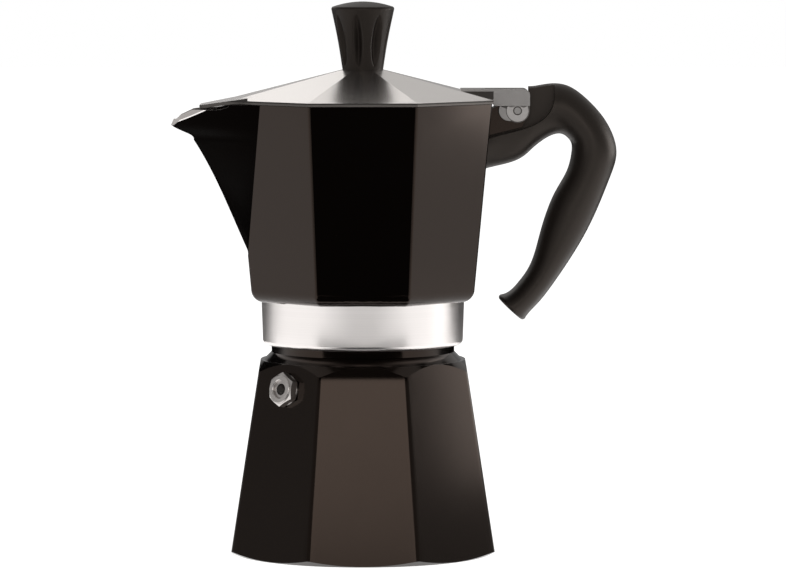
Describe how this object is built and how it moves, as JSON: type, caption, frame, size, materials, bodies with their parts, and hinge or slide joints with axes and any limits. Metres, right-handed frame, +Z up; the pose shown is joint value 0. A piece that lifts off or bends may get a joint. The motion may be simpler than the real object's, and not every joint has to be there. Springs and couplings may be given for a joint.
{
  "type": "moka pot",
  "caption": "Stovetop moka pot: octagonal boiler with relief valve, coffee funnel, and a screw-on octagonal jug with V spout, hinged lid, knob and side handle.",
  "frame": {"origin": "centre of the boiler's base, on the surface it stands on", "axes": "+Z up along the pot's axis, +X towards the handle, -X towards the spout"},
  "size_m": [0.1733, 0.1028, 0.2147],
  "materials": {
    "black_paint": "black enamel",
    "bare_aluminium": "brushed",
    "black_plastic": "satin",
    "gasket_rubber": "matt",
    "steel": "polished",
    "valve_brass": "nickel plated"
  },
  "bodies": {
    "boiler": {"boiler": "black_paint", "valve_body": "valve_brass", "valve_washer": "steel", "valve_retainer": "valve_brass", "valve_spring": "steel"},
    "relief_piston": {"valve_piston": "valve_brass"},
    "funnel": {"funnel_cup": "bare_aluminium", "funnel_tube": "bare_aluminium", "funnel_strainer": "bare_aluminium"},
    "seal": {"gasket": "gasket_rubber", "filter_plate": "bare_aluminium"},
    "jug": {"collector": "black_paint", "column_cap": "bare_aluminium", "handle": "black_plastic", "hinge_pin": "steel"},
    "lid": {"lid": "bare_aluminium", "knob": "black_plastic", "knob_insert": "valve_brass", "knob_washer": "steel", "knob_screw": "steel"}
  },
  "joints": [
    {"name": "relief_valve", "type": "slide", "parent": "boiler", "child": "relief_piston", "axis": [-0.699, -0.699, 0.151], "range_m": [0, 0.0012], "stiffness_N_per_m": 4000, "deforming": ["valve_spring"]},
    {"name": "lift_off", "type": "slide", "parent": "boiler", "child": "funnel", "axis": [0, 0, 1], "range_m": [0, 0.095]},
    {"name": "thread_rise", "type": "slide", "parent": "funnel", "child": "seal", "axis": [0, 0, 1], "range_m": [0, 0.00525]},
    {"name": "unscrew", "type": "hinge", "parent": "seal", "child": "jug", "pos_m": [0, 0, 0.09], "axis": [0, 0, 1], "range_deg": [0, 630]},
    {"name": "lid_hinge", "type": "hinge", "parent": "jug", "child": "lid", "pos_m": [0.0599, 0, 0.1726], "axis": [0, 1, 0], "range_deg": [0, 95]}
  ],
  "couplings": [
    {"joint": "thread_rise", "follows": "unscrew", "m_per_rad": 0.00047746}
  ]
}
